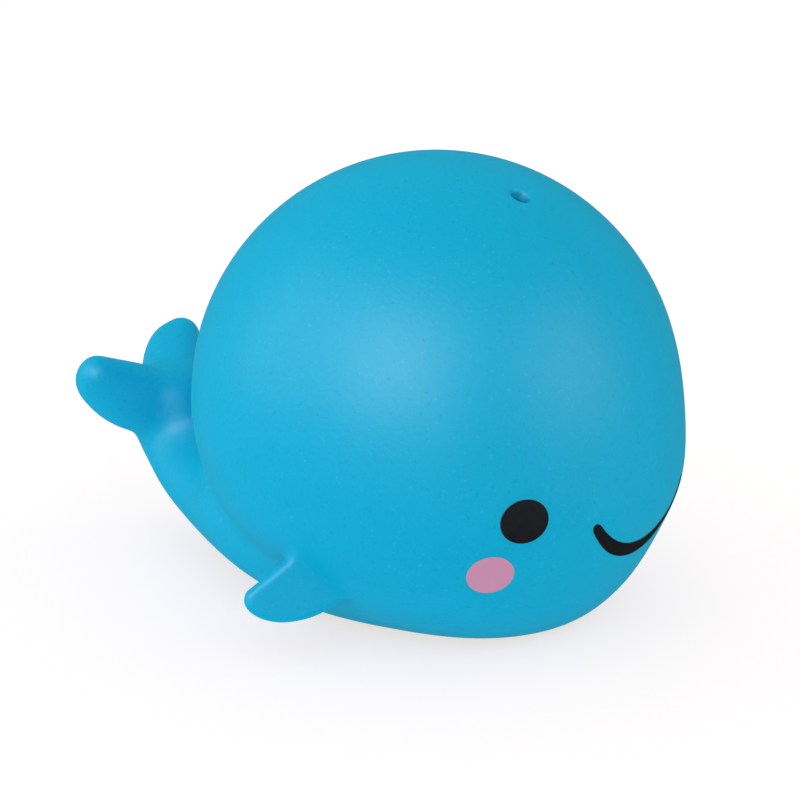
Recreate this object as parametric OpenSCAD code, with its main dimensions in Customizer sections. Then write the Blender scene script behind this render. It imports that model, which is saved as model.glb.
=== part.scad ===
// Squeaky bath toy: a plump whale moulded hollow in soft vinyl, with a painted
// face, a blowhole on top and a push-in reed squeaker in its flat base.
// Millimetres. The whale faces -Y, +Z is up and the base rests on z = 0.

/* [Body] */
// Diameter of the round body
ball_d = 72; // [62:1:84]
// Depth of the round belly that is cut away to make the flat base
base_cut = 3.7; // [3.1:0.1:4.3]
// From the ball's centre back to the rear of the tail stalk
tail_reach = 54; // [50:0.5:60]
// Wall of the moulded shell
wall = 2.2; // [1.6:0.1:2.8]

/* [Tail flukes] */
// Width over both fluke tips
fluke_span = 27.5; // [24:0.5:32]
// Radius of the rounded fluke tips
fluke_tip_r = 2.9; // [2.4:0.1:3.6]
// Radius of the thick fluke roots
fluke_root_r = 5.2; // [4.6:0.1:6]

/* [Fins] */
// How far a fin stands out from the flank
fin_span = 11; // [8:0.5:14]
// Width of a fin along the flank
fin_chord = 12; // [9:0.5:14]
// Thickness of a fin
fin_t = 2.5; // [2:0.1:3.2]

/* [Blowhole] */
// Diameter of the water hole
blowhole_d = 3.2; // [2.4:0.1:4]
// Radius of the soft rim round the water hole
blowhole_rim_r = 1.1; // [0.6:0.1:1.5]

/* [Squeaker] */
// Diameter of the squeaker's flange
squeaker_d = 18.6; // [17.6:0.2:20]
// Thickness of the flange
flange_t = 1; // [0.8:0.1:1.4]
// Diameter of the neck that the base's lip grips
neck_d = 16; // [15:0.1:16.4]
// Thickness of the vinyl lip round the neck
lip_t = 2.2; // [1.8:0.1:3]
// How far the barb stands out past the neck
barb_out = 0.9; // [0.6:0.1:1.1]
// Height of the barb above the lip
barb_h = 1.5; // [1.2:0.1:2]
// Wall of the plug's cup and of its socket
plug_wall = 1.2; // [1:0.1:1.4]
// Thickness of the plug's floor
plug_floor_t = 2; // [1.6:0.1:2.4]
// Diameter of the sound hole
sound_hole_d = 3; // [2.4:0.1:3.4]
// Diameter of the barrel that holds the reed
barrel_d = 6.3; // [5.8:0.1:7]
// Wall of the barrel
barrel_wall = 1; // [0.8:0.1:1.1]
// Depth to which the barrel goes into its socket
barrel_h = 5; // [4:0.1:6]
// Height of the barrel's collar, which stops it on the socket
collar_h = 1; // [0.8:0.1:1.4]
// Width of the reed
reed_w = 3; // [2.4:0.1:3.4]
// Length of the reed's free tongue
tongue_len = 6; // [5:0.1:7]
// Length of the reed's tail, held in the barrel
tail_len = 2.4; // [2:0.1:3]
// Thickness of the reed
reed_t = 0.2; // [0.15:0.01:0.25]
// Room on each side of the reed in its slot
reed_play = 0.12; // [0.1:0.01:0.2]

/* [Painted face] */
// Width of an eye
eye_w = 7.1; // [5:0.1:9]
// Height of an eye
eye_h = 6.5; // [5:0.1:9]
// Width of a cheek
cheek_w = 7; // [5:0.1:9]
// Height of a cheek
cheek_h = 6.6; // [5:0.1:9]
// Width of the smile between the centres of its rounded ends
smile_w = 24; // [18:0.5:28]
// Depth of the smile's curve
smile_sag = 6.1; // [4:0.1:8]
// From the ball's centre down to the middle of the smile
smile_drop = 16.1; // [14:0.1:18]
// Thickness of the smile at its middle
smile_t = 2; // [1.4:0.1:3]
// Thickness of the smile at its ends
smile_end_t = 1.35; // [0.9:0.05:1.6]
// Thickness of the paint films
paint_t = 0.15; // [0.1:0.01:0.25]

/* [Hidden] */
$fn = 48;

ball_r = ball_d / 2;
// Lowest reach of the uncut belly under the ball's centre
belly_share = 0.944;
centre_z = belly_share * ball_r - base_cut;
// One small overrun serves every cut
over = 0.5;

// Sections of the dome: level circles, this many degrees apart
dome_step = 15;
// Crease under the back of the ball, where the tail leaves it: y, z
crease_shares = [0.98, -0.28];
// Sections that fan out about the crease. Each row is the far edge's y and z,
// the gap from the crease to the near edge, and half the width. The y share is
// of the ball's radius in front of its centre and of the tail's reach behind.
fan_shares = [
    [-0.94, -0.50, 0.03, 0.935],
    [-0.815, -0.715, 0.03, 0.865],
    [-0.645, -0.848, 0.035, 0.785],
    [-0.34, -0.915, 0.04, 0.72],
    [0.00, -0.944, 0.045, 0.674],
    [0.216, -0.913, 0.05, 0.62],
    [0.441, -0.844, 0.055, 0.53],
    [0.656, -0.763, 0.06, 0.411],
    [0.83, -0.645, 0.08, 0.31],
    [0.945, -0.52, 0.10, 0.22],
    [1.008, -0.39, 0.125, 0.175],
    [1.02, -0.28, 0.15, 0.15]
];
// Sections round the ball's middle: near y, near z, far y, far z, half width, of
// the ball's radius
belt_shares = [
    [1.00, 0, -1.015, 0, 1.00],
    [0.985, -0.165, -1.022, -0.275, 0.98]
];
// Sections of the stalk above the fan: near y, near z, far y, far z, half width
stalk_shares = [
    [0.79, -0.19, 0.995, -0.19, 0.14],
    [0.85, -0.14, 0.95, -0.14, 0.08]
];

function dome_section(a) = ball_r * [cos(a), sin(a), -cos(a), sin(a), cos(a)];

function fan_y(share) = share < 0 ? share * ball_r : share * tail_reach;

crease = crease_shares * ball_r;

function fan_section(row) =
    let (
        far = [fan_y(row[0]), row[1] * ball_r],
        away = (far - crease) / norm(far - crease),
        near = crease + away * row[2] * ball_r
    )
    [near[0], near[1], far[0], far[1], row[3] * ball_r];

function stalk_section(row) = [
    row[0] * tail_reach, row[1] * ball_r,
    row[2] * tail_reach, row[3] * ball_r, row[4] * ball_r
];

keys = concat(
    [dome_section(2 * dome_step), dome_section(dome_step)],
    belt_shares * ball_r,
    [for (row = fan_shares) fan_section(row)],
    [for (row = stalk_shares) stalk_section(row)]
);
// Number of the last level section above the ball's widest circle
dome_last = 90 / dome_step - 1;
skin_end = dome_last + len(keys) - 2;

// Smooth curve through the keys, so that every section blends into the next
function spline(p0, p1, p2, p3, f) = (2 * p1 + (p2 - p0) * f
    + (2 * p0 - 5 * p1 + 4 * p2 - p3) * f * f
    + (3 * p1 - p0 - 3 * p2 + p3) * f * f * f) / 2;

function section(t) =
    t <= dome_last ? dome_section(90 - dome_step * t) :
    let (
        s = min(t, skin_end) - dome_last + 1,
        i = min(floor(s), len(keys) - 2),
        after = min(i + 2, len(keys) - 1)
    )
    spline(keys[i - 1], keys[i], keys[i + 1], keys[after], s - i);

// Flukes: balls that a smooth lobe is stretched over, from root to tip. Each row
// is x as a share of the way to the tip, y and z shares, and how far the radius
// has gone from the root's to the tip's.
fluke_shares = [
    [0.00, 0.865, -0.305, 0],
    [0.52, 0.957, -0.235, 0.03],
    [0.835, 1.01, -0.162, 0.56],
    [1.00, 1.002, -0.11, 1]
];
// Balls on the smooth curve between two rows
fluke_steps = 3;
fluke_tip_x = fluke_span / 2 - fluke_tip_r;
fluke_keys = [
    for (row = fluke_shares) [
        row[0] * fluke_tip_x, row[1] * tail_reach, row[2] * ball_r,
        fluke_root_r + (fluke_tip_r - fluke_root_r) * row[3]
    ]
];
fluke_last = len(fluke_keys) - 1;

// Centre and radius of a ball; past both ends the curve runs straight on
function fluke_ball(t) =
    let (
        i = min(floor(t), fluke_last - 1),
        p1 = fluke_keys[i],
        p2 = fluke_keys[i + 1],
        p0 = i > 0 ? fluke_keys[i - 1] : 2 * p1 - p2,
        p3 = i + 2 <= fluke_last ? fluke_keys[i + 2] : 2 * p2 - p1
    )
    spline(p0, p1, p2, p3, t - i);

fluke_balls = [for (i = [0 : fluke_steps * fluke_last]) fluke_ball(i / fluke_steps)];
tail_back = max([for (ball = fluke_balls) ball[1] + ball[3]]);

// The middle of the whale's length lies over the origin
skin_sides = 40;
skin_step = 0.5;
front_reach = min([for (t = [dome_last : skin_step : skin_end]) section(t)[2]]);
ball_y = -(front_reach + tail_back) / 2;
centre = [0, ball_y, centre_z];

// Point of the skin on section t, a degrees round from the front
function skin(t, a) =
    let (s = section(t))
    centre + [
        s[4] * sin(a),
        (s[0] + s[2]) / 2 + (s[2] - s[0]) / 2 * cos(a),
        (s[1] + s[3]) / 2 + (s[3] - s[1]) / 2 * cos(a)
    ];

slope_step = 0.02;
function skin_normal(t, a) =
    let (
        down = skin(t + slope_step, a) - skin(t - slope_step, a),
        round = skin(t, a + slope_step) - skin(t, a - slope_step),
        n = cross(down, round)
    )
    n / norm(n);

// Point of the skin moved outward by rise, or inward when rise is negative
function skin_at(t, a, rise) = rise == 0 ? skin(t, a) : skin(t, a) + skin_normal(t, a) * rise;

module skin_solid(rise, sides, gap) {
    ts = [for (t = [gap : gap : skin_end - gap / 4]) t];
    rings = len(ts);
    last = section(skin_end);
    top = centre + [0, 0, ball_r + rise];
    end_mid = centre + [0, (last[0] + last[2]) / 2, (last[1] + last[3]) / 2 + min(rise, 0)];
    points = concat(
        [for (t = ts) for (k = [0 : sides - 1]) skin_at(t, k * 360 / sides, rise)],
        [top, end_mid]
    );
    walls = [
        for (i = [0 : rings - 2]) for (k = [0 : sides - 1])
        let (
            here = i * sides + k,
            side = i * sides + (k + 1) % sides
        )
        each [[here, side, side + sides], [here, side + sides, here + sides]]
    ];
    caps = [
        for (k = [0 : sides - 1])
        let (
            next = (k + 1) % sides,
            base = (rings - 1) * sides
        )
        each [[rings * sides, next, k], [rings * sides + 1, base + k, base + next]]
    ];
    polyhedron(points, concat(walls, caps));
}

// Everything above a level
module above(level) {
    reach = ball_d + tail_reach;
    translate([-reach / 2, -reach, level]) cube([reach, 2 * reach, reach]);
}

module fluke(side) {
    hull() for (ball = fluke_balls)
        translate([side * ball[0], ball_y + ball[1], centre_z + ball[2]])
            sphere(r = ball[3], $fn = 28);
}

// Fin: a thin flipper whose root runs up the flank. Corners are shares of the
// span outward and of the chord upward, to the centres of its rounded edge.
fin_shares = [
    [-0.20, -0.50], [0.16, -0.465], [0.42, -0.35], [0.56, -0.26], [0.69, -0.13],
    [0.79, 0.04], [0.84, 0.20], [0.845, 0.31], [0.77, 0.35], [0.68, 0.345], [-0.20, 0.19]
];
// Where the root's middle lies on the skin: section, degrees round the side
fin_at = [8.5, 88];
// Turn of the fin from the X axis: sweep back, droop and lean of its face
fin_sweep = 28;
fin_droop = 39.5;
fin_lean = 6;

module fin(side) {
    mirror([side > 0 ? 0 : 1, 0, 0])
        translate(skin(fin_at[0], fin_at[1]))
            rotate([0, 0, fin_sweep]) rotate([0, fin_droop, 0]) rotate([90 + fin_lean, 0, 0])
                hull() for (p = fin_shares)
                    translate([p[0] * fin_span, p[1] * fin_chord, 0]) sphere(d = fin_t, $fn = 24);
}

// Blowhole: a round hole with a soft rim, tilted forward of straight up
blowhole_tilt = 23.4;
blowhole_deg = 60;
blowhole_steps = 4;

module blowhole_cut() {
    hole_r = blowhole_d / 2;
    rim = [
        for (i = [0 : blowhole_steps])
        let (a = 180 - blowhole_deg * i / blowhole_steps)
        [
            hole_r + blowhole_rim_r * (1 + cos(a)),
            blowhole_rim_r * (sin(a) - sin(blowhole_deg))
        ]
    ];
    deep = 2 * wall + blowhole_rim_r;
    translate(skin(blowhole_tilt / dome_step, 0)) rotate([blowhole_tilt, 0, 0])
        rotate_extrude() polygon(concat(
            [[0, -deep], [hole_r, -deep]],
            rim,
            [[rim[blowhole_steps][0] + over, over], [0, over]]
        ));
}

// Squeaker and its seat
snug = 0.05;
flush_gap = 0.2;
seat_gap = 0.3;
// How far ahead of the ball's centre the squeaker sits, of the ball's radius
seat_ahead_share = 0.08;
seat_y = ball_y - seat_ahead_share * ball_r;
recess_top = flush_gap + flange_t;
lip_top = recess_top + lip_t;
barb_d = neck_d + 2 * barb_out;
boss_top = lip_top + barb_h + seat_gap;
boss_d = barb_d + 2 * seat_gap + 2 * wall;

module seat_boss() {
    translate([0, seat_y, wall / 2]) cylinder(d = boss_d, h = boss_top - wall / 2);
}

module seat_cut() {
    translate([0, seat_y, -over]) {
        cylinder(d = squeaker_d + 2 * flush_gap, h = recess_top + over);
        cylinder(d = neck_d + 2 * snug, h = boss_top + 2 * over);
        translate([0, 0, lip_top + over])
            cylinder(d = barb_d + 2 * seat_gap, h = boss_top - lip_top + over);
    }
}

module body_shell() {
    color("deepskyblue") difference() {
        union() {
            difference() {
                union() {
                    intersection() {
                        skin_solid(0, skin_sides, skin_step);
                        above(0);
                    }
                    fluke(1);
                    fluke(-1);
                    fin(1);
                    fin(-1);
                }
                intersection() {
                    skin_solid(-wall, skin_sides / 2, 2 * skin_step);
                    above(wall);
                }
            }
            seat_boss();
        }
        blowhole_cut();
        seat_cut();
    }
}

// A film of paint over sections t0 to t1 and from a0 to a1 degrees round, on the
// same facets as the skin
module film(t0, t1, a0, a1) {
    step = 360 / skin_sides;
    ts = [for (t = [floor(t0 / skin_step) * skin_step : skin_step : t1 + skin_step * 0.99]) t];
    as = [for (a = [floor(a0 / step) * step : step : a1 + step * 0.99]) a];
    rows = len(ts);
    cols = len(as);
    half = rows * cols;
    points = [
        for (rise = [paint_t, 0]) for (t = ts) for (a = as) skin_at(t, a, rise)
    ];
    faces = [
        for (i = [0 : rows - 2]) for (k = [0 : cols - 2])
        let (here = i * cols + k, below = here + cols)
        each [
            [here, here + 1, below + 1], [here, below + 1, below],
            [half + here, half + below + 1, half + here + 1],
            [half + here, half + below, half + below + 1]
        ]
    ];
    edges = concat(
        [for (k = [0 : cols - 2]) [k, k + 1]],
        [for (i = [0 : rows - 2]) [(i + 1) * cols - 1, (i + 2) * cols - 1]],
        [for (k = [cols - 1 : -1 : 1]) [(rows - 1) * cols + k, (rows - 1) * cols + k - 1]],
        [for (i = [rows - 1 : -1 : 1]) [i * cols, (i - 1) * cols]]
    );
    sides = [for (e = edges) each [[e[1], e[0], half + e[0]], [e[1], half + e[0], half + e[1]]]];
    polyhedron(points, concat(faces, sides));
}

// A round dot of paint, stamped straight onto the skin. The film that it is cut
// from reaches past the dot on every side.
module dot(at, side, wide, high) {
    n = skin_normal(at[0], side * at[1]);
    turn = atan2(n[1], n[0]);
    tip = acos(n[2]);
    room_t = high / norm(skin(at[0] + 1, 0) - skin(at[0], 0));
    room_a = atan2(wide, ball_r);
    intersection() {
        film(at[0] - room_t, at[0] + room_t, side * at[1] - room_a, side * at[1] + room_a);
        translate(skin(at[0], side * at[1])) rotate([0, tip, turn])
            resize([high, wide, 0]) cylinder(d = wide, h = 4 * wall, center = true);
    }
}

// Places on the skin: section, degrees round from the front
eye_at = [6.675, 38.8];
cheek_at = [7.73, 45.2];

module right_eye() { color("black") dot(eye_at, -1, eye_w, eye_h); }
module left_eye() { color("black") dot(eye_at, 1, eye_w, eye_h); }
module right_cheek() { color("hotpink") dot(cheek_at, -1, cheek_w, cheek_h); }
module left_cheek() { color("hotpink") dot(cheek_at, 1, cheek_w, cheek_h); }

// Smile: an arc that thins towards its rounded ends, pressed on from the front
smile_r = (pow(smile_w / 2, 2) + pow(smile_sag, 2)) / (2 * smile_sag);
smile_deg = asin(smile_w / 2 / smile_r);
smile_steps = 16;

function smile_edge(f, side) =
    let (
        a = smile_deg * f,
        r = smile_r + side / 2 * (smile_end_t + (smile_t - smile_end_t) * cos(90 * f))
    )
    [r * sin(a), smile_r - r * cos(a)];

module smile_shape() {
    fs = [for (i = [-smile_steps : smile_steps]) i / smile_steps];
    polygon(concat(
        [for (f = fs) smile_edge(f, 1)],
        [for (f = fs) smile_edge(-f, -1)]
    ));
    for (side = [-1, 1])
        translate([side * smile_w / 2, smile_sag]) circle(d = smile_end_t);
}

// The film that the smile is cut from: sections, and degrees to each side
smile_from = dome_last + 1;
smile_to = dome_last + 4;
smile_reach = 2 * asin((smile_w / 2 + smile_t) / ball_d);

module mouth() {
    color("black") intersection() {
        film(smile_from, smile_to, -smile_reach, smile_reach);
        translate([0, ball_y, centre_z - smile_drop]) rotate([90, 0, 0])
            linear_extrude(2 * ball_r) smile_shape();
    }
}

// The squeaker's pieces stand on its axis. Heights are above the base.
barrel_bottom = flush_gap + plug_floor_t;
socket_top = barrel_bottom + barrel_h;
barrel_top = socket_top + collar_h;
// Chamfers of the flange's lower edge, of the barb's tip and of the sound hole
flange_chamfer = flange_t / 3;
barb_chamfer = plug_wall / 3;
hole_chamfer = flange_t / 2;

module on_seat(z) {
    translate([0, seat_y, z]) children();
}

// Flanged plug: a cup whose neck and barb grip the lip, with a socket inside
module squeaker_plug() {
    flange_r = squeaker_d / 2;
    neck_r = neck_d / 2;
    socket_r = barrel_d / 2 + snug;
    barb_z = lip_top + snug;
    cup_top = barb_z + barb_h;
    color("whitesmoke") on_seat(0) difference() {
        rotate_extrude() polygon([
            [0, flush_gap],
            [flange_r - flange_chamfer, flush_gap],
            [flange_r, flush_gap + flange_chamfer],
            [flange_r, recess_top],
            [neck_r, recess_top],
            [neck_r, barb_z],
            [barb_d / 2, barb_z],
            [neck_r - barb_chamfer, cup_top],
            [neck_r - plug_wall, cup_top],
            [neck_r - plug_wall, barrel_bottom],
            [socket_r + plug_wall, barrel_bottom],
            [socket_r + plug_wall, socket_top],
            [socket_r, socket_top],
            [socket_r, barrel_bottom],
            [0, barrel_bottom]
        ]);
        cylinder(d = sound_hole_d, h = barrel_bottom + over);
        translate([0, 0, flush_gap - over])
            cylinder(
                r1 = sound_hole_d / 2 + hole_chamfer + over, r2 = sound_hole_d / 2,
                h = hole_chamfer + over
            );
    }
}

// Reed and what holds it: the tone channel and the wedge fill the barrel's bore
// from both sides and leave a slot for the reed's tail between them
bore_r = barrel_d / 2 - barrel_wall;
slot_half = reed_t / 2 + reed_play;
// Solid rim of the tone channel beside its groove and past the reed's tip
channel_rim = 1.1;

module half_round(side, z0, z1) {
    intersection() {
        translate([0, 0, z0]) cylinder(r = bore_r - snug, h = z1 - z0);
        translate([-barrel_d / 2, side > 0 ? slot_half : -barrel_d - slot_half, z0])
            cube([barrel_d, barrel_d, z1 - z0]);
    }
}

module reed_barrel() {
    color("whitesmoke") on_seat(barrel_bottom) difference() {
        union() {
            cylinder(d = barrel_d, h = barrel_h + collar_h);
            translate([0, 0, barrel_h]) cylinder(r = barrel_d / 2 + snug + plug_wall, h = collar_h);
        }
        translate([0, 0, -over]) cylinder(r = bore_r, h = barrel_h + collar_h + 2 * over);
    }
}

module tone_channel() {
    groove_top = barrel_top + tongue_len - channel_rim;
    top = groove_top + 2 * channel_rim;
    groove_r = bore_r - channel_rim;
    color("gold") on_seat(0) difference() {
        half_round(-1, barrel_bottom, top);
        translate([0, -slot_half, barrel_bottom - over])
            cylinder(r = groove_r, h = groove_top - barrel_bottom + over);
    }
}

module reed_wedge() {
    color("gold") on_seat(0) half_round(1, barrel_bottom, barrel_top);
}

module reed() {
    color("gainsboro") on_seat(barrel_top - tail_len)
        translate([-reed_w / 2, -reed_t / 2, 0]) cube([reed_w, reed_t, tail_len + tongue_len]);
}

body_shell();
right_eye();
left_eye();
right_cheek();
left_cheek();
mouth();
squeaker_plug();
reed_barrel();
tone_channel();
reed_wedge();
reed();
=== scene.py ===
import math

import bpy
import bmesh
import numpy as np
from mathutils import Matrix, Vector
from mathutils.bvhtree import BVHTree


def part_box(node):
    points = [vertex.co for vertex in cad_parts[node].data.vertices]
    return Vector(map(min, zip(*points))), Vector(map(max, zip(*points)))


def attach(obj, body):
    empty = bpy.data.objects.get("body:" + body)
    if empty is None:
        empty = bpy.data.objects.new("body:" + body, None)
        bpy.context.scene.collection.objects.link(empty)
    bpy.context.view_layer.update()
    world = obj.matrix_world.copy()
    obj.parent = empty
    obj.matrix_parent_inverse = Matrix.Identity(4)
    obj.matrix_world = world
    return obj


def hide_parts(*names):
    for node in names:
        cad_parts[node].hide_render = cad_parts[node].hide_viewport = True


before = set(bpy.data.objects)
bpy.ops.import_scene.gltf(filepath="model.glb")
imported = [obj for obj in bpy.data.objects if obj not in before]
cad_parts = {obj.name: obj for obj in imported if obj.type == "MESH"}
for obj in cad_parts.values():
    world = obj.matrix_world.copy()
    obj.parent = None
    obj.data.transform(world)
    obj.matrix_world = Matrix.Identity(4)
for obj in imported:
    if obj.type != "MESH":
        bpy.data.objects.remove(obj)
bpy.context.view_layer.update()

mm = 0.001


def hexColour(code):
    parts = [int(code[i:i + 2], 16) / 255 for i in (1, 3, 5)]
    linear = [p / 12.92 if p <= 0.04045 else ((p + 0.055) / 1.055) ** 2.4 for p in parts]
    return (*linear, 1.0)


def addNode(tree, kind, inputs=None, **settings):
    node = tree.nodes.new(kind)
    for name, value in settings.items():
        setattr(node, name, value)
    for name, value in (inputs or {}).items():
        if isinstance(value, bpy.types.NodeSocket):
            tree.links.new(value, node.inputs[name])
        else:
            node.inputs[name].default_value = value
    return node


def newMaterial(name):
    material = bpy.data.materials.new(name)
    material.use_nodes = True
    material.node_tree.nodes.clear()
    return material, material.node_tree


def addPiece(name, points, faces, material, body, nodes=(), slot=None):
    mesh = bpy.data.meshes.new(name)
    mesh.from_pydata((np.asarray(points) * mm).tolist(), [], [list(map(int, f)) for f in faces])
    mesh.validate()
    mesh.polygons.foreach_set("use_smooth", [True] * len(mesh.polygons))
    mesh.materials.append(material)
    piece = bpy.data.objects.new(name, mesh)
    bpy.context.collection.objects.link(piece)
    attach(piece, body)
    if nodes:
        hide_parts(*nodes)


# Body skin, in millimetres. The sections run level round the ball and then fan out
# about the crease under its back. Shares are of the ball's radius, or of the
# tail's reach behind the ball's centre.
skin = {
    "ballD": 72.0,
    "tailReach": 54.0,
    "wall": 2.2,
    "domeStep": 15.0,  # degrees between the level sections
    "creaseShares": (0.98, -0.28),  # y, z
    # far y, far z, gap from the crease, half width
    "fanShares": [
        (-0.94, -0.50, 0.03, 0.935),
        (-0.815, -0.715, 0.03, 0.865),
        (-0.645, -0.848, 0.035, 0.785),
        (-0.34, -0.915, 0.04, 0.72),
        (0.00, -0.944, 0.045, 0.674),
        (0.216, -0.913, 0.05, 0.62),
        (0.441, -0.844, 0.055, 0.53),
        (0.656, -0.763, 0.06, 0.411),
        (0.83, -0.645, 0.08, 0.31),
        (0.945, -0.52, 0.10, 0.22),
        (1.008, -0.39, 0.125, 0.175),
        (1.02, -0.28, 0.15, 0.15),
    ],
    # near y, near z, far y, far z, half width
    "beltShares": [(1.00, 0, -1.015, 0, 1.00), (0.985, -0.165, -1.022, -0.275, 0.98)],
    "stalkShares": [(0.79, -0.19, 0.995, -0.19, 0.14), (0.85, -0.14, 0.95, -0.14, 0.08)],
    "rings": 420,
    "sides": 360,
}

ballR = skin["ballD"] / 2
shellLow, shellHigh = (np.array(corner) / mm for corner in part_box("body_shell"))


def domeSection(degrees):
    c, s = math.cos(math.radians(degrees)), math.sin(math.radians(degrees))
    return np.array([c, s, -c, s, c]) * ballR


def fanSection(row):
    crease = np.array(skin["creaseShares"]) * ballR
    far = np.array([row[0] * (ballR if row[0] < 0 else skin["tailReach"]), row[1] * ballR])
    away = (far - crease) / np.linalg.norm(far - crease)
    near = crease + away * row[2] * ballR
    return np.array([*near, *far, row[3] * ballR])


def stalkSection(row):
    scales = [skin["tailReach"], ballR, skin["tailReach"], ballR, ballR]
    return np.array(row) * scales


domeStep = skin["domeStep"]
domeLast = round(90 / domeStep) - 1
keys = np.array(
    [domeSection(2 * domeStep), domeSection(domeStep)]
    + [np.array(row) * ballR for row in skin["beltShares"]]
    + [fanSection(row) for row in skin["fanShares"]]
    + [stalkSection(row) for row in skin["stalkShares"]]
)
skinEnd = domeLast + len(keys) - 2


# Smooth curve through p1 and p2
def spline(p0, p1, p2, p3, f):
    return (2 * p1 + (p2 - p0) * f + (2 * p0 - 5 * p1 + 4 * p2 - p3) * f * f
            + (3 * p1 - p0 - 3 * p2 + p3) * f ** 3) / 2


def sectionAt(t):
    if t <= domeLast:
        return domeSection(90 - domeStep * t)
    s = min(t, skinEnd) - domeLast + 1
    i = min(int(s), len(keys) - 2)
    return spline(keys[i - 1], keys[i], keys[i + 1], keys[min(i + 2, len(keys) - 1)], s - i)


# The ball's top and the front of the skin touch the CAD shell's box
cadStep = 0.5
frontReach = min(sectionAt(t)[2] for t in np.arange(domeLast, skinEnd + cadStep / 2, cadStep))
ballCentre = np.array([0, shellLow[1] - frontReach, shellHigh[2] - ballR])


def skinPoint(t, degrees):
    nearY, nearZ, farY, farZ, half = sectionAt(t)
    s, c = math.sin(math.radians(degrees)), math.cos(math.radians(degrees))
    return ballCentre + np.array([
        half * s,
        (nearY + farY) / 2 + (farY - nearY) / 2 * c,
        (nearZ + farZ) / 2 + (farZ - nearZ) / 2 * c,
    ])


def skinNormal(t, degrees, step=0.02):
    down = skinPoint(t + step, degrees) - skinPoint(t - step, degrees)
    along = skinPoint(t, degrees + step) - skinPoint(t, degrees - step)
    normal = np.cross(down, along)
    return normal / np.linalg.norm(normal)


def loftSkin():
    rings, sides = skin["rings"], skin["sides"]
    angles = np.radians(np.arange(sides) * 360 / sides)
    points = []
    for t in np.linspace(0, skinEnd, rings + 1)[1:]:
        nearY, nearZ, farY, farZ, half = sectionAt(t)
        points.append(np.stack([
            half * np.sin(angles),
            (nearY + farY) / 2 + (farY - nearY) / 2 * np.cos(angles),
            (nearZ + farZ) / 2 + (farZ - nearZ) / 2 * np.cos(angles),
        ], 1) + ballCentre)
    points = np.concatenate(points)
    ring = np.arange(sides)
    step = (ring + 1) % sides
    faces = [np.stack([ring + i * sides, ring + (i + 1) * sides,
                       step + (i + 1) * sides, step + i * sides], 1)
             for i in range(rings - 1)]
    top, end, last = len(points), len(points) + 1, (rings - 1) * sides
    points = np.concatenate([points, [skinPoint(0, 0), points[-sides:].mean(0)]])
    caps = [(top, int(k), int(step[k])) for k in ring]
    caps += [(end, int(step[k]) + last, int(k) + last) for k in ring]
    return points, np.concatenate(faces).tolist() + caps


skinPoints, skinFaces = loftSkin()
skinTree = BVHTree.FromPolygons(skinPoints.tolist(), skinFaces)
print("skin lofted:", len(skinFaces), "faces")


# Gap to the surface in a tree, negative inside it, and the way out of it
def treeGaps(tree, points):
    find = tree.find_nearest
    gaps, ways = np.empty(len(points)), np.empty((len(points), 3))
    for i, p in enumerate(points.tolist()):
        p = Vector(p)
        spot, normal, _, gap = find(p)
        gaps[i] = gap if (p - spot).dot(normal) > 0 else -gap
        ways[i] = normal
    return gaps, ways


# Flukes: each a smooth hull over balls on a curve from root to tip
flukes = {
    "span": 27.5,
    "tipR": 2.9,
    "rootR": 5.2,
    # x share of the way to the tip, y share of the tail's reach, z share of the
    # ball's radius, and how far the radius has gone from the root's to the tip's
    "rowShares": [
        (0.00, 0.865, -0.305, 0),
        (0.52, 0.957, -0.235, 0.03),
        (0.835, 1.01, -0.162, 0.56),
        (1.00, 1.002, -0.11, 1),
    ],
    "steps": 6,  # balls on the curve between two rows
    "blend": 1.6,  # how far the fillets where they leave the stalk reach
    "notch": 2.4,  # the same for the notch between them
    "around": 48,  # sides of a ball
    "near": 5.0,  # mm past them beyond which they change nothing
}

# Fins: thin flippers with a round edge. Corners are shares of span and chord.
fins = {
    "span": 11.0,
    "chord": 12.0,
    "thick": 2.5,
    "cornerShares": [
        (-0.27, -0.55), (0.02, -0.57), (0.335, -0.48), (0.60, -0.315), (0.745, -0.135),
        (0.785, 0.015), (0.735, 0.07), (-0.27, 0.0),
    ],
    "curved": (1, 6),  # the corners that a smooth curve joins, first and last
    "curveSteps": 5,
    "at": (8.5, 92),  # section, degrees round the side
    "sweep": 37.5, "droop": 39.5, "lean": -12.5,
    "edge": 0.9,  # softness of the rim between the two faces
    "blend": 1.5,
    "near": 5.0,
    "refine": (1, 0.9),  # rounds of splitting the net round them, and how far, in chords
}

blowhole = {
    "holeD": 3.2,
    "tilt": 23.4,  # degrees forward of straight up
    "rim": 0.7,  # how far the soft rim reaches
    "taper": 0.3,  # how much the bore narrows per mm of depth
    "startShare": 0.5,  # how far out the bore starts in the hollow, of the ball's radius
    "refine": (2, 1.3),  # rounds of splitting the net round it, and how far, in hole widths
}

# The squeaker's seat in the base
seat = {
    "flangeD": 18.6, "neckD": 16.0,
    "aheadShare": 0.08,  # ahead of the ball's centre, of its radius
    "flangeT": 1.0, "lipT": 2.2, "barbOut": 0.9, "barbH": 1.5,
    "gap": 0.2, "neckGap": 0.05, "barbGap": 0.3,
    "overcut": 1.0,  # how far the bore is cut past the boss, into the hollow
    "edge": 0.6,  # softness of the moulded edges round it
    "baseEdge": 1.0,
}


def softMin(a, b, reach):
    h = np.maximum(reach - np.abs(a - b), 0) / reach
    return np.minimum(a, b) - h * h * reach / 4


def softMax(a, b, reach):
    return -softMin(-a, -b, reach)


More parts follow.
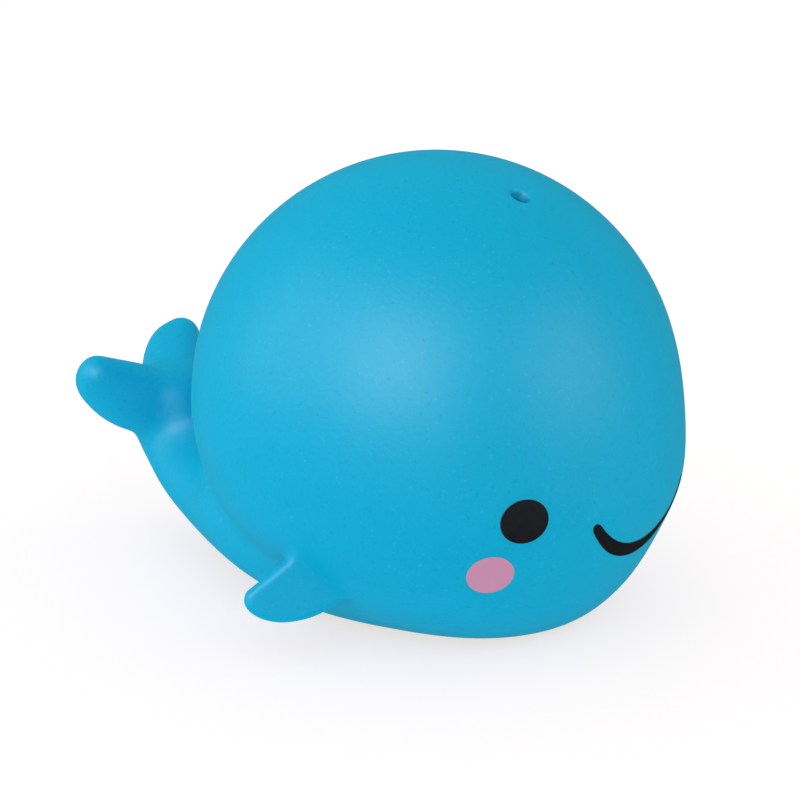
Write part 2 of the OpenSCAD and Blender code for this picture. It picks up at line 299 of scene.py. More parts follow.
# Centre and radius of each ball; past both ends the curve runs straight on
def flukeChain():
    scales = [flukes["span"] / 2 - flukes["tipR"], skin["tailReach"], ballR,
              flukes["tipR"] - flukes["rootR"]]
    rows = np.array(flukes["rowShares"]) * scales + [0, *ballCentre[1:], flukes["rootR"]]
    rows = np.array([2 * rows[0] - rows[1], *rows, 2 * rows[-1] - rows[-2]])
    steps = flukes["steps"]
    return np.array([spline(*rows[i:i + 4], k / steps)
                     for i in range(len(rows) - 3) for k in range(steps)] + [rows[-2]])


def flukeHull():
    around = flukes["around"]
    mesh = bmesh.new()
    for x, y, z, r in flukeChain():
        bmesh.ops.create_uvsphere(mesh, u_segments=around, v_segments=around // 2, radius=r,
                                  matrix=Matrix.Translation((x, y, z)))
    bmesh.ops.delete(mesh, geom=mesh.edges[:] + mesh.faces[:], context="EDGES_FACES")
    bmesh.ops.convex_hull(mesh, input=mesh.verts[:])
    bmesh.ops.delete(mesh, geom=[v for v in mesh.verts if not v.link_faces], context="VERTS")
    bmesh.ops.recalc_face_normals(mesh, faces=mesh.faces[:])
    corners = [list(v.co) for v in mesh.verts]
    mesh.verts.index_update()
    tree = BVHTree.FromPolygons(corners, [[v.index for v in f.verts] for f in mesh.faces])
    mesh.free()
    corners = np.array(corners)
    return tree, corners.min(0) - flukes["near"], corners.max(0) + flukes["near"]


flukeTree, flukeLow, flukeHigh = flukeHull()


def flukeDistance(points):
    sides = []
    for side in (1, -1):
        mirrored = points * [side, 1, 1]
        near = ((mirrored > flukeLow) & (mirrored < flukeHigh)).all(1)
        out = np.full(len(points), flukes["near"])
        out[near] = treeGaps(flukeTree, mirrored[near])[0]
        sides.append(out)
    return softMin(*sides, flukes["notch"])


def turnMatrix(axis, degrees):
    c, s = math.cos(math.radians(degrees)), math.sin(math.radians(degrees))
    turns = {"x": [[1, 0, 0], [0, c, -s], [0, s, c]],
             "y": [[c, 0, s], [0, 1, 0], [-s, 0, c]],
             "z": [[c, -s, 0], [s, c, 0], [0, 0, 1]]}
    return np.array(turns[axis])


finTurn = (turnMatrix("z", fins["sweep"]) @ turnMatrix("y", fins["droop"])
           @ turnMatrix("x", 90 + fins["lean"]))
finRoot = skinPoint(*fins["at"])


def finOutline():
    corners = np.array(fins["cornerShares"]) * [fins["span"], fins["chord"]]
    first, last = fins["curved"]
    steps = fins["curveSteps"]
    curve = [spline(*corners[i - 1:i + 2], corners[min(i + 2, last)], k / steps)
             for i in range(first, last) for k in range(steps)]
    return np.array([*corners[:first], *curve, *corners[last:]])


finCorners = finOutline()


def finDistance(points):
    local = (np.column_stack([np.abs(points[:, 0]), points[:, 1:]]) - finRoot) @ finTurn
    near = (np.abs(local) < fins["span"] + fins["near"]).all(1)
    flat, across = local[near, :2], local[near, 2]
    gap2 = np.full(len(flat), np.inf)
    inside = np.full(len(flat), -np.inf)
    for a, b in zip(finCorners, np.roll(finCorners, -1, 0)):
        edge = b - a
        share = np.clip((flat - a) @ edge / (edge @ edge), 0, 1)
        gap2 = np.minimum(gap2, ((flat - a - share[:, None] * edge) ** 2).sum(1))
        outward = np.array([edge[1], -edge[0]]) / np.linalg.norm(edge)
        inside = np.maximum(inside, (flat - a) @ outward)
    rim = np.where(inside > 0, np.sqrt(gap2), inside) - fins["thick"] / 2
    face = np.abs(across) - fins["thick"] / 2
    out = np.full(len(points), fins["near"])
    out[near] = softMax(rim, face, fins["edge"])
    return out


# A round bead of vinyl along the bottom of the crease, which bows round the ball
creaseFill = {
    "r": 1.7,
    "half": 16.0,  # reach to each side
    "bow": 5.2, "dip": 2.0,  # how far its ends lie ahead of its middle, and below it
    "ahead": 1.1, "down": 1.5,  # how far its middle lies from the crease's bottom
    "blend": 1.2,  # how far its fillets reach
}


def creaseDistance(points):
    side = np.clip(points[:, 0], -creaseFill["half"], creaseFill["half"])
    share = (side / creaseFill["half"]) ** 2
    y, z = np.array(skin["creaseShares"]) * ballR + ballCentre[1:]
    nearest = np.column_stack([side, y - creaseFill["ahead"] - creaseFill["bow"] * share,
                               z - creaseFill["down"] - creaseFill["dip"] * share])
    return np.linalg.norm(points - nearest, axis=1) - creaseFill["r"]


seatY = ballCentre[1] - seat["aheadShare"] * ballR
recessTop = seat["gap"] + seat["flangeT"]
lipTop = recessTop + seat["lipT"]
barbR = seat["neckD"] / 2 + seat["barbOut"]
bossTop = lipTop + seat["barbH"] + seat["barbGap"]
holeAxis = turnMatrix("x", blowhole["tilt"]) @ [0, 0, 1]


# Negative inside the vinyl
def shellField(points, skinGap):
    x, y, z = points.T
    outer = softMin(skinGap, flukeDistance(points), flukes["blend"])
    outer = softMin(outer, creaseDistance(points), creaseFill["blend"])
    outer = softMin(outer, finDistance(points), fins["blend"])
    outer = softMax(outer, -z, seat["baseEdge"])
    cavity = softMax(skinGap + skin["wall"], skin["wall"] - z, seat["baseEdge"])
    solid = np.maximum(outer, -cavity)
    r = np.hypot(x, y - seatY)
    boss = np.maximum(r - barbR - seat["barbGap"] - skin["wall"],
                      np.maximum(z - bossTop, skin["wall"] / 2 - z))
    solid = softMin(solid, boss, seat["edge"])
    recess = np.maximum(r - seat["flangeD"] / 2 - seat["gap"], z - recessTop)
    cutTop = z - bossTop - seat["overcut"]
    bore = np.maximum(r - seat["neckD"] / 2 - seat["neckGap"], cutTop)
    barbRoom = np.maximum(r - barbR - seat["barbGap"], lipTop + seat["gap"] - z)
    room = np.minimum(recess, np.minimum(bore, np.maximum(barbRoom, cutTop)))
    solid = softMax(solid, -room, seat["edge"])
    along = (points - ballCentre) @ holeAxis
    fromAxis = np.linalg.norm(points - ballCentre - np.outer(along, holeAxis), axis=1)
    narrowed = blowhole["taper"] * np.clip(ballR - along, 0, skin["wall"])
    hole = np.maximum(fromAxis - blowhole["holeD"] / 2 + narrowed,
                      blowhole["startShare"] * ballR - along)
    return softMax(solid, -hole, blowhole["rim"])


# The skin is eased where the belly leaves the ball beside the crease, and
# along the crease's bottom
easing = {
    # reach in mm from each path, and places along it as shares of the ball's radius
    # from its centre, on the left side and mirrored
    "paths": [
        (6.0, [(0.79, 0.57, -0.19), (0.81, 0.486, -0.32), (0.806, 0.417, -0.40),
               (0.853, 0.278, -0.433), (0.861, 0.18, -0.47), (0.87, 0.08, -0.50)]),
        (3.2, [(0.00, 1.00, -0.265), (0.20, 0.97, -0.28), (0.46, 0.86, -0.325)]),
    ],
    "finRoom": (0.8, 3.0),  # mm from the fin where it starts and where it is full
    "spacing": 0.1,  # of the way between two places, for the points of a path
    "passes": 60,
}

meshing = {
    "step": 0.77,  # grid step of the net
    "coarse": 4,  # steps between the points of the first, coarse look
    "margin": 3,  # steps of room round the shell
    "band": 2.5,  # steps off the wall within which each gap is measured
    "rounds": 3,  # of evening out the net on the surface
    "probe": 0.02,  # mm between the spots that give the slope
    "leastSlope": 0.5,  # keeps a move short where the field is flat
}


def gridDistance(low, shape, step):
    every = meshing["coarse"]
    coarseShape = [n // every + 2 for n in shape]
    ticks = [np.arange(n) * every for n in coarseShape]
    cells = np.stack(np.meshgrid(*ticks, indexing="ij"), -1).reshape(-1, 3)
    coarse = treeGaps(skinTree, cells * step + low)[0].reshape(coarseShape)
    fine = coarse
    for axis, n in enumerate(shape):
        place = np.arange(n) / every
        i = place.astype(int)
        f = (place - i).reshape([-1 if k == axis else 1 for k in range(3)])
        fine = np.take(fine, i, axis) * (1 - f) + np.take(fine, i + 1, axis) * f
    band = meshing["band"] * step
    near = (fine < band) & (fine > -skin["wall"] - band)
    spots = np.argwhere(near)
    fine[near] = treeGaps(skinTree, spots * step + low)[0]
    return fine


def surfaceNet(field, low, step):
    shape = np.array(field.shape)
    inside = field < 0
    cellIds, places, quads = [], [], []
    for axis in range(3):
        e = np.eye(3, dtype=int)[axis]
        u, v = np.eye(3, dtype=int)[(axis + 1) % 3], np.eye(3, dtype=int)[(axis + 2) % 3]
        here = [slice(None)] * 3
        ahead = [slice(None)] * 3
        here[axis], ahead[axis] = slice(0, -1), slice(1, None)
        crossed = inside[tuple(here)] != inside[tuple(ahead)]
        at = np.argwhere(crossed)
        a, b = field[tuple(at.T)], field[tuple((at + e).T)]
        place = at + (a / (a - b))[:, None] * e
        corners = [at, at - u, at - u - v, at - v]
        ids = np.stack([np.ravel_multi_index(c.T, shape) for c in corners], 1)
        quads.append(np.where((a < 0)[:, None], ids, ids[:, ::-1]))
        cellIds.append(ids.ravel())
        places.append(np.repeat(place, 4, 0))
    cellIds, places, quads = map(np.concatenate, (cellIds, places, quads))
    used, index = np.unique(cellIds, return_inverse=True)
    counts = np.bincount(index)
    points = np.stack([np.bincount(index, places[:, k]) / counts for k in range(3)], 1)
    return points * step + low, np.searchsorted(used, quads)


# The way from each point to the middle of its neighbours
def neighbourMoves(points, edges, count):
    total = np.zeros_like(points)
    for k in range(3):
        total[:, k] = (np.bincount(edges[:, 0], points[edges[:, 1], k], len(points))
                       + np.bincount(edges[:, 1], points[edges[:, 0], k], len(points)))
    return total / count[:, None] - points


def settle(points, edges, rounds):
    probe = meshing["probe"]
    corners = np.array([(1, -1, -1), (-1, -1, 1), (-1, 1, -1), (1, 1, 1)])
    count = np.bincount(edges.ravel(), minlength=len(points))
    for turn in range(rounds + 1):
        gaps, ways = treeGaps(skinTree, points)
        values = [shellField(points + corner * probe, gaps + ways @ corner * probe)
                  for corner in corners]
        slope = sum(np.outer(value, corner) for value, corner in zip(values, corners)) / (4 * probe)
        slope2 = np.maximum((slope ** 2).sum(1), meshing["leastSlope"] ** 2)
        points = points - slope * (np.mean(values, 0) / slope2)[:, None]
        if turn == rounds:
            break
        move = neighbourMoves(points, edges, count)
        normal = slope / np.sqrt(slope2)[:, None]
        move -= normal * (move * normal).sum(1)[:, None]
        points = points + move / 2
    return points


def easeCrease(points, edges):
    mirrored = points - ballCentre
    mirrored[:, 0] = np.abs(mirrored[:, 0])
    weight = np.zeros(len(points))
    for reach, shares in easing["paths"]:
        stops = np.array(shares) * ballR
        places = np.arange(0, len(stops) - 1, easing["spacing"])
        path = np.stack([np.interp(places, range(len(stops)), stops[:, k]) for k in range(3)], 1)
        gap = np.linalg.norm(mirrored[:, None] - path[None], axis=2).min(1)
        weight = np.maximum(weight, np.clip(1 - gap / reach, 0, 1))
    picked = np.flatnonzero(weight > 0)
    outer = treeGaps(skinTree, points[picked])[0] > -skin["wall"] / 2
    low, high = easing["finRoom"]
    room = np.clip((finDistance(points[picked]) - low) / (high - low), 0, 1)
    weight[picked] *= outer * room
    weight = weight ** 2 * (3 - 2 * weight)
    count = np.bincount(edges.ravel(), minlength=len(points))
    for _ in range(easing["passes"]):
        points = points + neighbourMoves(points, edges, count) * weight[:, None] / 2
    return points


def buildShell():
    step = meshing["step"] * 1
    low = shellLow - meshing["margin"] * step
    shape = [int(n) for n in (shellHigh - shellLow) / step + 2 * meshing["margin"] + 1]
    skinGap = gridDistance(low, shape, step)
    ticks = [np.arange(n) * step + low[k] for k, n in enumerate(shape)]
    grid = np.stack(np.meshgrid(*ticks, indexing="ij"), -1).reshape(-1, 3)
    field = shellField(grid, skinGap.ravel()).reshape(shape)
    print("field on", field.size, "points")
    points, quads = surfaceNet(field, low, step)
    mesh = bmesh.new()
    verts = [mesh.verts.new(p) for p in points]
    for quad in quads:
        mesh.faces.new([verts[i] for i in quad])
    holeSpot = ballCentre + holeAxis * ballR
    finSpot = finRoot + finTurn @ [fins["span"] / 2, 0, 0]
    for spot, (rounds, widths), width in (
        (holeSpot, blowhole["refine"], blowhole["holeD"]),
        (finSpot, fins["refine"], fins["chord"]),
        (finSpot * [-1, 1, 1], fins["refine"], fins["chord"]),
    ):
        for _ in range(rounds):
            near = {v for v in mesh.verts if (v.co - Vector(spot)).length < widths * width}
            edges = [e for e in mesh.edges if e.verts[0] in near and e.verts[1] in near]
            bmesh.ops.subdivide_edges(mesh, edges=edges, cuts=1, use_grid_fill=True)
    bmesh.ops.triangulate(mesh, faces=[f for f in mesh.faces if len(f.verts) > 4])
    mesh.verts.index_update()
    points = np.array([v.co for v in mesh.verts])
    edges = np.array([[v.index for v in e.verts] for e in mesh.edges])
    faces = [[v.index for v in f.verts] for f in mesh.faces]
    mesh.free()
    points = settle(points, edges, meshing["rounds"])
    return easeCrease(points, edges), faces


shellPoints, shellFaces = buildShell()
print("shell:", len(shellPoints), "points,", len(shellFaces), "faces")

# Soft PVC, rotation-moulded in a blasted mould: a satin skin whose fine
# orange-peel breaks the highlights, with a little light let in under the surface
vinylLook = {
    "base": "#00A8D2", "dark": "#0094B5", "light": "#38BCDC",
    "peel": 0.9,  # mm between the bumps of the orange-peel
    "peelDepth": 0.05, "peelStrength": 0.8,
    "speck": 0.55,  # mm between the specks
    "speckGrit": 0.7,  # how ragged they are
    # noise where they start, noise where they are full, and how strong they are then
    "darkSpecks": (0.40, 0.30, 0.8), "lightSpecks": (0.62, 0.72, 0.6),
    "roughness": 0.43, "ior": 1.53, "specular": 0.06,
    "glow": 0.35, "glowDepth": 2.5,  # how much light goes under the skin, and how far in mm
    "glowRadius": (0.4, 0.8, 1.0),  # red goes less far in blue vinyl
}
vinyl, tree = newMaterial("softPvcRotomoulded")
where = addNode(tree, "ShaderNodeTexCoord").outputs["Object"]
peel = addNode(tree, "ShaderNodeTexNoise",
               {"Vector": where, "Scale": 1 / (vinylLook["peel"] * mm), "Detail": 2.0})
specks = addNode(tree, "ShaderNodeTexNoise",
                 {"Vector": where, "Scale": 1 / (vinylLook["speck"] * mm), "Detail": 3.0,
                  "Roughness": vinylLook["speckGrit"]})
start, full, most = vinylLook["darkSpecks"]
darkSpecks = addNode(tree, "ShaderNodeMapRange",
                     {"Value": specks.outputs["Fac"], "From Min": start, "From Max": full,
                      "To Max": most})
start, full, most = vinylLook["lightSpecks"]
lightSpecks = addNode(tree, "ShaderNodeMapRange",
                      {"Value": specks.outputs["Fac"], "From Min": start, "From Max": full,
                       "To Max": most})
darker = addNode(tree, "ShaderNodeMixRGB",
                 {"Fac": darkSpecks.outputs["Result"], "Color1": hexColour(vinylLook["base"]),
                  "Color2": hexColour(vinylLook["dark"])})
speckled = addNode(tree, "ShaderNodeMixRGB",
                   {"Fac": lightSpecks.outputs["Result"], "Color1": darker.outputs["Color"],
                    "Color2": hexColour(vinylLook["light"])})
bump = addNode(tree, "ShaderNodeBump",
               {"Height": peel.outputs["Fac"], "Strength": vinylLook["peelStrength"],
                "Distance": vinylLook["peelDepth"] * mm})
shader = addNode(tree, "ShaderNodeBsdfPrincipled",
                 {"Base Color": speckled.outputs["Color"], "Roughness": vinylLook["roughness"],
                  "IOR": vinylLook["ior"], "Specular IOR Level": vinylLook["specular"],
                  "Subsurface Weight": vinylLook["glow"],
                  "Subsurface Radius": vinylLook["glowRadius"],
                  "Subsurface Scale": vinylLook["glowDepth"] * mm,
                  "Normal": bump.outputs["Normal"]})
addNode(tree, "ShaderNodeOutputMaterial", {"Surface": shader.outputs["BSDF"]})

addPiece("whaleShell", shellPoints, shellFaces, vinyl, "toy", ["body_shell"], "vinyl_blue")

# Painted face: thin films of pad-printed ink that follow the skin, in millimetres
paint = {
    "rise": 0.015, "sink": 0.05, "softEdge": 0.12,
    "edgeSink": 0.01,  # how far the film's very edge lies under the skin
    "aimFrom": 5.0,  # how far off the skin the rays start that find it
    "eyeAt": (6.675, 38.8), "eyeW": 7.2, "eyeH": 6.75,  # at section, degrees round the side
    "cheekAt": (7.73, 45.2), "cheekW": 6.9, "cheekH": 6.9,
    "smileW": 23.5, "smileSag": 6.0, "smileDrop": 16.05, "smileT": 2.3, "smileEndT": 1.5,
    "smileCap": 1.2,  # length of its round ends
    "capTurns": (15, 30, 45, 60, 72, 82, 87),  # degrees round an end
    "stations": 97,  # along the smile, without its ends
    "acrossShares": (-1, -0.97, -0.93, -0.88, -0.7, -0.35, 0, 0.35, 0.7, 0.88, 0.93, 0.97, 1),
    "around": 120,
    "rings": 8, "firstRing": 0.1,  # in a dot, and the first one's share of its radius
    "lastRing": 1.5,  # how many soft edges the last one lies in from the rim
    "rimShares": (1, 0.6, 0.3, 0.1, 0),  # places of the rings in the soft edge
}

# Pad-printed vinyl inks: nearly matt, with the skin's peel showing through
inkLook = {
    "black": "#12161B", "pink": "#C48DAC",
    "roughness": 0.5, "wear": 0.06,  # how far the roughness varies up and down
    "wearRange": (0.3, 0.7),  # the peel's noise at both ends of that
    "peelStrength": 0.35,
    "ior": 1.5,
}


def inkMaterial(name, code):
    roughness, spread = inkLook["roughness"], inkLook["wear"]
    low, high = inkLook["wearRange"]
    material, tree = newMaterial(name)
    where = addNode(tree, "ShaderNodeTexCoord").outputs["Object"]
    peel = addNode(tree, "ShaderNodeTexNoise",
                   {"Vector": where, "Scale": 1 / (vinylLook["peel"] * mm), "Detail": 2.0})
    wear = addNode(tree, "ShaderNodeMapRange",
                   {"Value": peel.outputs["Fac"], "From Min": low, "From Max": high,
                    "To Min": roughness - spread, "To Max": roughness + spread})
    bump = addNode(tree, "ShaderNodeBump",
                   {"Height": peel.outputs["Fac"], "Strength": inkLook["peelStrength"],
                    "Distance": vinylLook["peelDepth"] * mm})
    shader = addNode(tree, "ShaderNodeBsdfPrincipled",
                     {"Base Color": hexColour(code), "Roughness": wear.outputs["Result"],
                      "IOR": inkLook["ior"], "Specular IOR Level": vinylLook["specular"],
                      "Normal": bump.outputs["Normal"]})
    addNode(tree, "ShaderNodeOutputMaterial", {"Surface": shader.outputs["BSDF"]})
    return material


blackInk = inkMaterial("padPrintedBlackInk", inkLook["black"])
pinkInk = inkMaterial("padPrintedPinkInk", inkLook["pink"])


# A film on the skin where rays from rows of points meet it. A closed film has rings
# for rows and a middle point.
def layFilm(name, rows, towards, lifts, closed, material, node, slot):
    count = len(rows[0])
    top, bottom = [], []
    for row, lift in zip(rows, lifts):
        for start, rise in zip(row, np.broadcast_to(lift, count)):
            spot, normal, _, _ = skinTree.ray_cast(Vector(start), Vector(towards))
            top.append(spot + normal * rise)
            bottom.append(spot - normal * paint["sink"])
    size = len(top)
    span = range(count if closed else count - 1)
    faces = []
    for i in range(len(rows) - 1):
        for k in span:
            a, b = i * count + k, i * count + (k + 1) % count
            faces.append((a, b, b + count, a + count))
            faces.append((size + a, size + a + count, size + b + count, size + b))
    rims = [(k, (k + 1) % count) for k in span]
    last = (len(rows) - 1) * count
    if closed:
        rims = [(last + b, last + a) for a, b in rims]
    else:
        rims += [(last + b, last + a) for a, b in rims]
        starts = range(0, last, count)
        rims += [(k + count, k) for k in starts]
        rims += [(k + count - 1, k + 2 * count - 1) for k in starts]
    faces += [(b, a, size + a, size + b) for a, b in rims]
    points = [list(p) for p in top + bottom]
    if closed:
        points += [list(sum((top[k] for k in range(count)), Vector()) / count),
                   list(sum((bottom[k] for k in range(count)), Vector()) / count)]
        middle = 2 * size
        faces += [(middle, (k + 1) % count, k) for k in span]
        faces += [(middle + 1, size + k, size + (k + 1) % count) for k in span]
    addPiece(name, points, faces, material, "toy", [node], slot)


# Height of the film at a gap from its edge
def edgeLift(gap):
    f = np.clip(np.asarray(gap) / paint["softEdge"], 0, 1)
    return paint["rise"] * np.sqrt(1 - (1 - f) ** 2) - paint["edgeSink"]


def paintDot(name, at, side, wide, high, material, node, slot):
    middle = skinPoint(at[0], side * at[1])
    out = skinNormal(at[0], side * at[1])
    out = out if out @ (middle - ballCentre) > 0 else -out
    across = np.cross([0, 0, 1], out)
    across /= np.linalg.norm(across)
    down = np.cross(across, out)
    r = wide / 2
    edge = paint["softEdge"] / r
    rings = [*np.linspace(paint["firstRing"], 1 - paint["lastRing"] * edge, paint["rings"])]
    rings += [1 - edge * share for share in paint["rimShares"]]
    angles = np.radians(np.arange(paint["around"]) * 360 / paint["around"])
    start = middle + out * paint["aimFrom"]
    rows = [[start + across * (r * ring * math.cos(a)) + down * (high / 2 * ring * math.sin(a))
             for a in angles] for ring in rings]
    lifts = [edgeLift(r * (1 - ring)) for ring in rings]
    layFilm(name, rows, -out, lifts, True, material, node, slot)


for side, label in ((-1, "right"), (1, "left")):
    paintDot(label + "EyeInk", paint["eyeAt"], side, paint["eyeW"], paint["eyeH"],
             blackInk, label + "_eye", "paint_black")
    paintDot(label + "CheekInk", paint["cheekAt"], side, paint["cheekW"], paint["cheekH"],
             pinkInk, label + "_cheek", "paint_pink")


def paintSmile():
    half, sag, endR = paint["smileW"] / 2, paint["smileSag"], paint["smileEndT"] / 2
    r = (half ** 2 + sag ** 2) / (2 * sag)
    reach = math.asin(half / r)
    stations = []
    for f in np.linspace(-1, 1, paint["stations"]):
        a = reach * f
        thick = endR + (paint["smileT"] / 2 - endR) * math.cos(math.pi / 2 * f)
        stations.append(((r * math.sin(a), r - r * math.cos(a)), a, thick))
    for end in (-1, 1):
        spot, a, thick = stations[0] if end < 0 else stations[-1]
        cap = [((spot[0] + end * math.sin(turn) * paint["smileCap"] * math.cos(a),
                 spot[1] + end * math.sin(turn) * paint["smileCap"] * math.sin(a)), a,
                endR * math.cos(turn)) for turn in np.radians(paint["capTurns"])]
        stations = cap[::-1] + stations if end < 0 else stations + cap
    shares = np.array(paint["acrossShares"])
    rows, lifts = [], []
    base = ballCentre[2] - paint["smileDrop"]
    tips = [np.array(stations[0][0]), np.array(stations[-1][0])]
    for (x, z), a, thick in stations:
        rows.append([(x + share * thick * -math.sin(a), ballCentre[1] - 2 * ballR,
                      base + z + share * thick * math.cos(a)) for share in shares])
        toTip = min(np.linalg.norm(np.array((x, z)) - tip) for tip in tips)
        lifts.append(edgeLift(np.minimum(thick * (1 - np.abs(shares)), toTip)))
    layFilm("smileInk", rows, (0, 1, 0), lifts, False, blackInk, "mouth", "paint_black")


paintSmile()
print("face painted")

# Squeaker: natural low-density polyethylene, injection-moulded, milky and satin, and
# for the reed polyester film, rolled, glossy and clear enough to let no light spread
plastics = {
    "naturalPolyethylene": {"base": "#E6E7E3", "roughness": 0.4, "ior": 1.51, "grain": 1.5,
                            "glow": 0.3},
    "polyesterFilm": {"base": "#D9DCDD", "roughness": 0.15, "ior": 1.64, "grain": 3.0,
                      "glow": 0.0},
}
# For both: how far the roughness varies, and in mm how deep flow marks and light go
flowLook = {"polish": 0.08, "strength": 0.2, "depth": 0.02, "glowDepth": 0.8}


def plasticMaterial(name):
    look = plastics[name]
    material, tree = newMaterial(name)
    where = addNode(tree, "ShaderNodeTexCoord").outputs["Object"]
    flow = addNode(tree, "ShaderNodeTexNoise",
                   {"Vector": where, "Scale": 1 / (look["grain"] * mm), "Detail": 3.0})
    polish = addNode(tree, "ShaderNodeMapRange",
                     {"Value": flow.outputs["Fac"], "To Min": look["roughness"] - flowLook["polish"],
                      "To Max": look["roughness"] + flowLook["polish"]})
    bump = addNode(tree, "ShaderNodeBump",
                   {"Height": flow.outputs["Fac"], "Strength": flowLook["strength"],
                    "Distance": flowLook["depth"] * mm})
    shader = addNode(tree, "ShaderNodeBsdfPrincipled",
                     {"Base Color": hexColour(look["base"]), "Roughness": polish.outputs["Result"],
                      "IOR": look["ior"], "Subsurface Weight": look["glow"],
                      "Subsurface Radius": (1, 1, 1),
                      "Subsurface Scale": flowLook["glowDepth"] * mm,
                      "Normal": bump.outputs["Normal"]})
    addNode(tree, "ShaderNodeOutputMaterial", {"Surface": shader.outputs["BSDF"]})
    return material


polyethylene = plasticMaterial("naturalPolyethylene")
reedFilm = plasticMaterial("polyesterFilm")

plug = {
    "floorT": 2.0, "wall": 1.2, "soundHoleD": 3.0, "barrelD": 6.3, "barrelH": 5.0,
    "snug": 0.05,  # gap to what it is pressed into
    "edge": 0.15, "edgeSteps": 4,  # softness of its edges, and faces across each
    "around": 128,
}


def roundProfile(corners, edge, steps):
    out = []
    corners = np.array(corners, float)
    for before, corner, after in zip(np.roll(corners, 1, 0), corners, np.roll(corners, -1, 0)):
        a, b = before - corner, after - corner
        reach = min(edge, np.linalg.norm(a) / 3, np.linalg.norm(b) / 3)
        a, b = a / np.linalg.norm(a) * reach, b / np.linalg.norm(b) * reach
        for f in np.linspace(0, 1, steps + 1):
            out.append(corner + a * (1 - f) ** 2 + b * f ** 2)
    return out


def buildPlug():
    flangeR, neckR, snug = seat["flangeD"] / 2, seat["neckD"] / 2, plug["snug"]
    low, holeR = seat["gap"], plug["soundHoleD"] / 2
    socketR = plug["barrelD"] / 2 + snug
    floorTop = low + plug["floorT"]
    socketTop = floorTop + plug["barrelH"]
    barbZ = lipTop + snug
    cupTop = barbZ + seat["barbH"]
    corners = [
        (holeR + seat["flangeT"] / 2, low), (flangeR - seat["flangeT"] / 3, low),
        (flangeR, low + seat["flangeT"] / 3), (flangeR, recessTop), (neckR, recessTop),
        (neckR, barbZ), (barbR, barbZ), (neckR - plug["wall"] / 3, cupTop),
        (neckR - plug["wall"], cupTop), (neckR - plug["wall"], floorTop),
        (socketR + plug["wall"], floorTop), (socketR + plug["wall"], socketTop),
        (socketR, socketTop), (socketR, floorTop), (holeR, floorTop),
        (holeR, low + seat["flangeT"] / 2),
    ]
    profile = roundProfile(corners, plug["edge"], plug["edgeSteps"])
    turns = np.radians(np.arange(plug["around"]) * 360 / plug["around"])
    points = [(r * math.sin(a), seatY + r * math.cos(a), z) for a in turns for r, z in profile]
    n = len(profile)
    faces = [(i * n + k, i * n + (k + 1) % n, (i + 1) % len(turns) * n + (k + 1) % n,
              (i + 1) % len(turns) * n + k) for i in range(len(turns)) for k in range(n)]
    return points, faces


addPiece("squeakerPlug", *buildPlug(), polyethylene, "toy", ["squeaker_plug"], "squeaker_plastic")
for name in ("reed_barrel", "tone_channel", "reed_wedge", "reed"):
    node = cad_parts[name]
    node.data.materials.clear()
    node.data.materials.append(reedFilm if name == "reed" else polyethylene)
print("squeaker made")

# White room and a pale, faintly backlit table. In the vinyl's own reflections
# both are dim, as behind a photographer's black flags, so only the panels show.
studio = {
    "ambient": 0.89, "inGloss": 0.15,
    "tableGlow": 0.72, "glowTint": "#FFE4B8", "table": "#A6C4EC",
    # the light from above and from the right is a little weaker and warmer
    "warmWay": (0.5, 0.85, 0.15), "warm": "#F8F8F1", "cool": "#FFFFFF",
}

# Pale seamless paper, matt, lit to nearly white
paperLook = {
    "fibre": 2.0,  # mm between the fibres, drawn coarse enough to show
    "toothStrength": 0.05, "toothDepth": 0.05,
    "roughness": 0.9, "specular": 0.1,
    "half": 3.0,  # metres from the middle to an edge
}
paper, tree = newMaterial("seamlessPaper")
where = addNode(tree, "ShaderNodeTexCoord").outputs["Object"]
fibre = addNode(tree, "ShaderNodeTexNoise",
                {"Vector": where, "Scale": 1 / (paperLook["fibre"] * mm)})
tooth = addNode(tree, "ShaderNodeBump",
                {"Height": fibre.outputs["Fac"], "Strength": paperLook["toothStrength"],
                 "Distance": paperLook["toothDepth"] * mm})
shader = addNode(tree, "ShaderNodeBsdfPrincipled",
                 {"Base Color": hexColour(studio["table"]), "Roughness": paperLook["roughness"],
                  "Specular IOR Level": paperLook["specular"], "Normal": tooth.outputs["Normal"],
                  "Emission Color": hexColour(studio["glowTint"]),
                  "Emission Strength": studio["tableGlow"]})
flagged = addNode(tree, "ShaderNodeEmission", {"Strength": studio["inGloss"]})
rays = addNode(tree, "ShaderNodeLightPath")
shown = addNode(tree, "ShaderNodeMixShader",
                {"Fac": rays.outputs["Is Glossy Ray"], 1: shader.outputs["BSDF"],
                 2: flagged.outputs["Emission"]})
addNode(tree, "ShaderNodeOutputMaterial", {"Surface": shown.outputs["Shader"]})
paper.cycles.emission_sampling = "NONE"
half = paperLook["half"]
floorMesh = bpy.data.meshes.new("floor")
floorMesh.from_pydata([(-half, -half, 0), (half, -half, 0), (half, half, 0), (-half, half, 0)],
                      [], [(0, 1, 2, 3)])
floorMesh.materials.append(paper)
floor = bpy.data.objects.new("floor", floorMesh)
bpy.context.collection.objects.link(floor)

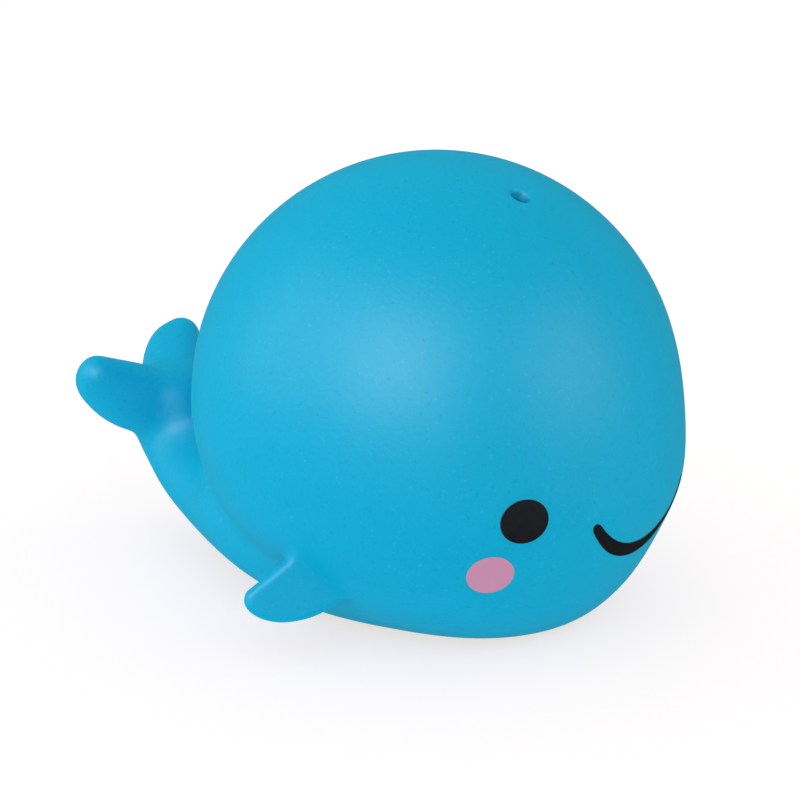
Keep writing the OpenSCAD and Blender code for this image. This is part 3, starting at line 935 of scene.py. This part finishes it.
# Camera: azimuth round the whale and height above the table, in degrees; the
# ball's centre lies a little off the picture's middle, in mm; clip is in metres
view = {"azimuth": 303.0, "elevation": 19.7, "distance": 600.0, "right": 5.29, "up": 0.735,
        "lens": 183.76, "sensor": 36.0, "clip": (0.01, 20)}
turn, rise = math.radians(view["azimuth"]), math.radians(view["elevation"])
back = np.array([math.sin(turn) * math.cos(rise), -math.cos(turn) * math.cos(rise),
                 math.sin(rise)])
right = np.array([math.cos(turn), math.sin(turn), 0])
up = np.cross(back, right)
cameraData = bpy.data.cameras.new("camera")
cameraData.sensor_width = view["sensor"]
cameraData.lens = view["lens"]
cameraData.clip_start, cameraData.clip_end = view["clip"]
camera = bpy.data.objects.new("camera", cameraData)
camera.location = (ballCentre + back * view["distance"]
                   - right * view["right"] - up * view["up"]) * mm
camera.rotation_euler = Vector(back).to_track_quat("Z", "Y").to_euler()
bpy.context.collection.objects.link(camera)
bpy.context.scene.camera = camera

# Soft studio light: panels given by their way from the ball, in the camera's
# right, up and back shares, with distance and size in metres and power in watts
panels = {
    "wideGlow": {"way": (-0.33, 0.24, 0.92), "distance": 1.2, "size": 1.7, "power": 45.0,
                 "lights": "gloss"},
    "keyGlow": {"way": (-0.33, 0.24, 0.92), "distance": 1.2, "size": 0.8, "power": 45.0,
                "lights": "gloss"},
    "sideGlow": {"way": (0.87, 0.17, 0.47), "distance": 1.2, "size": 1.0, "power": 32.0,
                 "lights": "gloss"},
    "leftGlow": {"way": (-0.9, 0.35, 0.25), "distance": 1.2, "size": 1.0, "power": 20.0,
                 "lights": "gloss"},
    "fill": {"way": (-0.33, 0.24, 0.92), "distance": 1.2, "size": 0.8, "power": 1.5,
             "lights": "colour"},
    "leftFill": {"way": (-0.65, 0.45, 0.6), "distance": 1.2, "size": 1.0, "power": 4.2,
                 "lights": "colour"},
}
# The panels light the toy alone, so the table keeps the room's soft even shade
toyOnly = bpy.data.collections.new("toyOnly")
for piece in [o for o in bpy.context.collection.objects if o.type == "MESH" and o is not floor]:
    toyOnly.objects.link(piece)
for name, panel in panels.items():
    light = bpy.data.lights.new(name, "AREA")
    light.size = panel["size"]
    light.energy = panel["power"]
    lamp = bpy.data.objects.new(name, light)
    way = right * panel["way"][0] + up * panel["way"][1] + back * panel["way"][2]
    way /= np.linalg.norm(way)
    lamp.location = ballCentre * mm + way * panel["distance"]
    lamp.rotation_euler = Vector(way).to_track_quat("Z", "Y").to_euler()
    lamp.visible_diffuse = panel["lights"] == "colour"
    lamp.visible_glossy = panel["lights"] == "gloss"
    lamp.light_linking.receiver_collection = toyOnly
    bpy.context.collection.objects.link(lamp)

world = bpy.data.worlds.new("studio")
world.use_nodes = True
tree = world.node_tree
rays = addNode(tree, "ShaderNodeLightPath")
strength = addNode(tree, "ShaderNodeMapRange",
                   {"Value": rays.outputs["Is Glossy Ray"], "To Min": studio["ambient"],
                    "To Max": studio["inGloss"]})
warmWay = sum(axis * share for axis, share in zip((right, up, back), studio["warmWay"]))
towards = addNode(tree, "ShaderNodeVectorMath",
                  {0: addNode(tree, "ShaderNodeTexCoord").outputs["Generated"],
                   1: warmWay / np.linalg.norm(warmWay)}, operation="DOT_PRODUCT")
warmth = addNode(tree, "ShaderNodeMapRange",
                 {"Value": towards.outputs["Value"], "From Min": -1.0, "From Max": 1.0})
tint = addNode(tree, "ShaderNodeMixRGB",
               {"Fac": warmth.outputs["Result"], "Color1": hexColour(studio["cool"]),
                "Color2": hexColour(studio["warm"])})
background = tree.nodes["Background"]
tree.links.new(tint.outputs["Color"], background.inputs["Color"])
tree.links.new(strength.outputs["Result"], background.inputs["Strength"])
world.cycles.sampling_method = "NONE"
bpy.context.scene.world = world
bpy.context.scene.view_settings.view_transform = "Standard"
print("studio lit")
